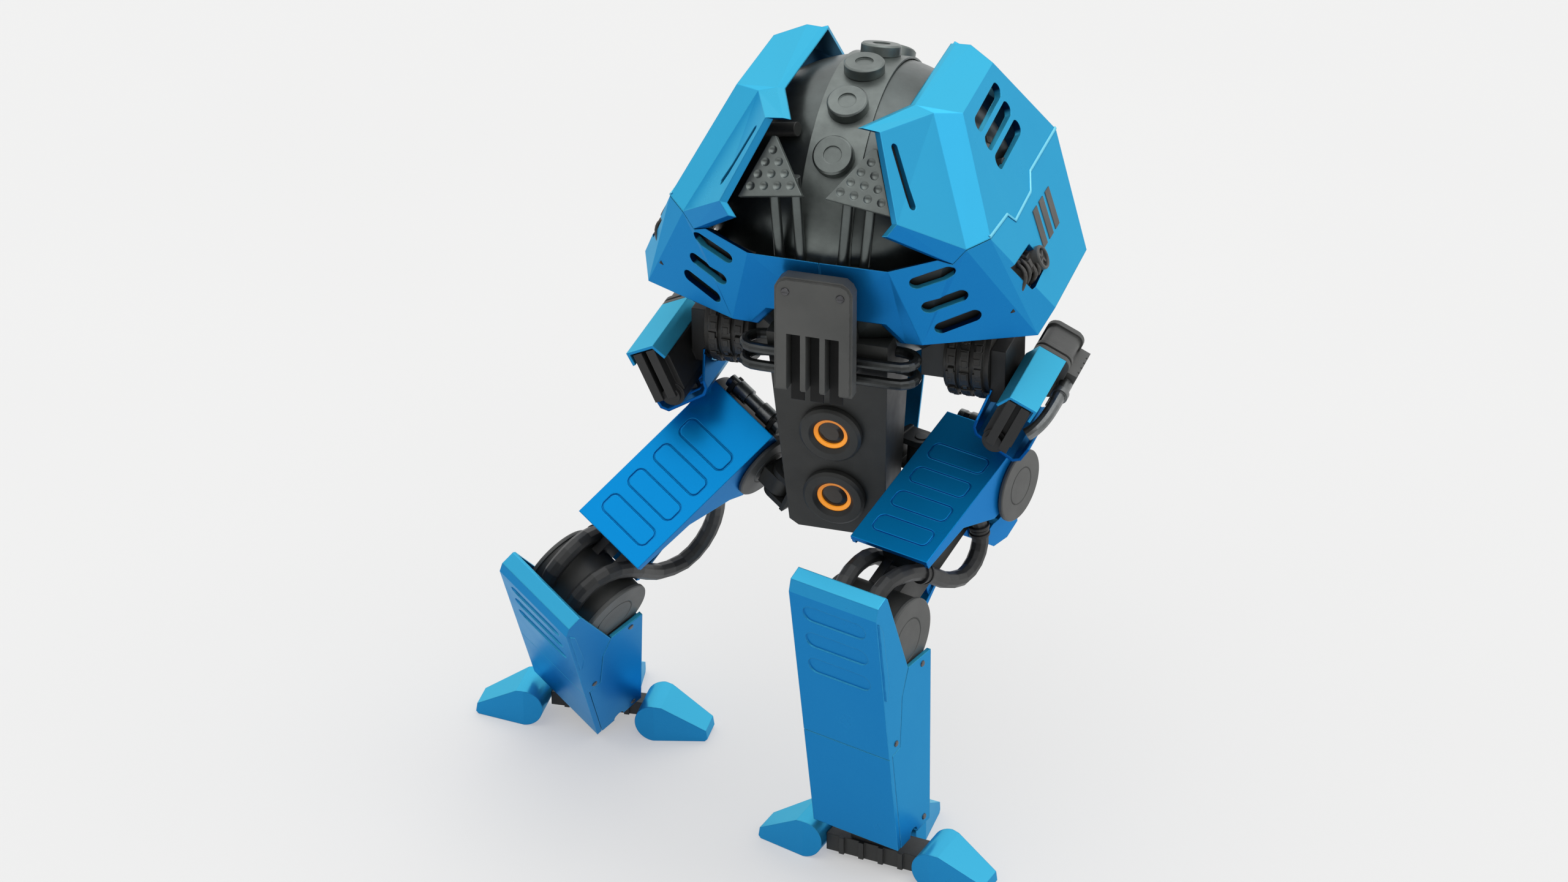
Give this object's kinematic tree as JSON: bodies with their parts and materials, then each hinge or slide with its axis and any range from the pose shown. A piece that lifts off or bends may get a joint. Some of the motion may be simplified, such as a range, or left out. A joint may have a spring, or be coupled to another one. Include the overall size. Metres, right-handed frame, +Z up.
{
  "type": "walking robot toy",
  "caption": "Toy walking robot with a domed head in angular armour, a tapered column body with round lamps, forearm pods and bent jointed legs on toed feet.",
  "frame": {"origin": "on the floor, under the centre of the robot's bounding box in its stored standing pose", "axes": "+X to the robot's left, +Y to its back, +Z up"},
  "size_m": [0.2337, 0.1771, 0.2933],
  "materials": {
    "blue_paint": "satin metallic blue",
    "deep_blue_paint": "satin metallic deep blue",
    "dark_plastic": "dark satin",
    "grey_plastic": "grey satin",
    "orange_lamp": "bright orange lamp ring",
    "lamp_lens": "dark lamp lens",
    "metal_pipe": "worn grey metal",
    "steel": "satin",
    "hose_rubber": "matt black",
    "black_plastic": "matt",
    "board": "circuit board"
  },
  "bodies": {
    "torso": {"core_ball": "dark_plastic", "core_stripe": "grey_plastic", "port_discs": "grey_plastic", "armour_upper_r": "blue_paint", "armour_upper_l": "blue_paint", "armour_lower_r": "blue_paint", "armour_lower_l": "blue_paint", "armour_rear": "blue_paint", "armour_pegs": "dark_plastic", "emitter_pads": "grey_plastic", "pad_rods": "grey_plastic", "column": "dark_plastic", "pelvis": "dark_plastic", "grille_plate": "grey_plastic", "grille_screws": "steel", "lamp_bezels": "dark_plastic", "lamp_rings": "orange_lamp", "lamp_lenses": "lamp_lens", "cross_pipes": "metal_pipe", "rear_plate": "blue_paint", "shoulder_axles": "grey_plastic", "hip_pins": "dark_plastic", "battery_pack": "black_plastic", "main_board": "board", "speaker": "black_plastic"},
    "switch": {"power_switch": "black_plastic"},
    "arm_r": {"arm_drum_r": "dark_plastic", "arm_body_r": "dark_plastic", "arm_cover_r": "blue_paint", "arm_guard_r": "deep_blue_paint", "arm_case_r": "grey_plastic", "arm_pipe_r": "metal_pipe"},
    "yoke_r": {"hip_yoke_r": "dark_plastic"},
    "thigh_r": {"thigh_frame_r": "dark_plastic", "hip_link_r": "metal_pipe", "joint_discs_r": "grey_plastic", "thigh_cover_r": "blue_paint", "leg_hoses_r": "hose_rubber"},
    "shin_r": {"shin_cover_r": "blue_paint", "shin_back_r": "blue_paint", "shin_pins_r": "steel"},
    "foot_r": {"foot_block_r": "dark_plastic", "toes_r": "blue_paint"},
    "arm_l": {"arm_drum_l": "dark_plastic", "arm_body_l": "dark_plastic", "arm_cover_l": "blue_paint", "arm_guard_l": "deep_blue_paint", "arm_case_l": "grey_plastic", "arm_pipe_l": "metal_pipe"},
    "yoke_l": {"hip_yoke_l": "dark_plastic"},
    "thigh_l": {"thigh_frame_l": "dark_plastic", "hip_link_l": "metal_pipe", "joint_discs_l": "grey_plastic", "thigh_cover_l": "blue_paint", "leg_hoses_l": "hose_rubber"},
    "shin_l": {"shin_cover_l": "blue_paint", "shin_back_l": "blue_paint", "shin_pins_l": "steel"},
    "foot_l": {"foot_block_l": "dark_plastic", "toes_l": "blue_paint"}
  },
  "joints": [
    {"name": "shoulder_r", "type": "hinge", "parent": "torso", "child": "arm_r", "pos_m": [0.081, 0.0145, 0.187], "axis": [1, 0, 0], "range_deg": [-8, 10]},
    {"name": "hip_yaw_r", "type": "hinge", "parent": "torso", "child": "yoke_r", "pos_m": [0.05884, 0.02219, 0.13731], "axis": [0.0506, -0.0132, 0.9986], "range_deg": [-5, 5]},
    {"name": "hip_pitch_r", "type": "hinge", "parent": "yoke_r", "child": "thigh_r", "pos_m": [0.083, 0.0159, 0.136], "axis": [0.9664, -0.2517, -0.0523], "range_deg": [-8, 12]},
    {"name": "knee_r", "type": "hinge", "parent": "thigh_r", "child": "shin_r", "pos_m": [0.06259, -0.05621, 0.10607], "axis": [0.9664, -0.2517, -0.0523], "range_deg": [-12, 10]},
    {"name": "ankle_r", "type": "hinge", "parent": "shin_r", "child": "foot_r", "pos_m": [0.06068, -0.04528, 0.0181], "axis": [0.9664, -0.2517, -0.0523], "range_deg": [-6, 6]},
    {"name": "shoulder_l", "type": "hinge", "parent": "torso", "child": "arm_l", "pos_m": [-0.009, 0.0145, 0.187], "axis": [1, 0, 0], "range_deg": [-8, 10]},
    {"name": "hip_yaw_l", "type": "hinge", "parent": "torso", "child": "yoke_l", "pos_m": [0.00968, 0.00712, 0.12504], "axis": [0.4035, -0.1713, 0.8988], "range_deg": [-5, 5]},
    {"name": "hip_pitch_l", "type": "hinge", "parent": "yoke_l", "child": "thigh_l", "pos_m": [-0.011, 0.0159, 0.136], "axis": [0.8273, -0.3512, -0.4384], "range_deg": [-8, 12]},
    {"name": "knee_l", "type": "hinge", "parent": "thigh_l", "child": "shin_l", "pos_m": [-0.05629, -0.02858, 0.08616], "axis": [0.8273, -0.3512, -0.4384], "range_deg": [-12, 10]},
    {"name": "ankle_l", "type": "hinge", "parent": "shin_l", "child": "foot_l", "pos_m": [-0.07363, 0.02032, 0.01425], "axis": [0.8273, -0.3512, -0.4384], "range_deg": [-6, 6]},
    {"name": "switch_slide", "type": "slide", "parent": "torso", "child": "switch", "axis": [1, 0, 0], "range_m": [0, 0.003]}
  ]
}
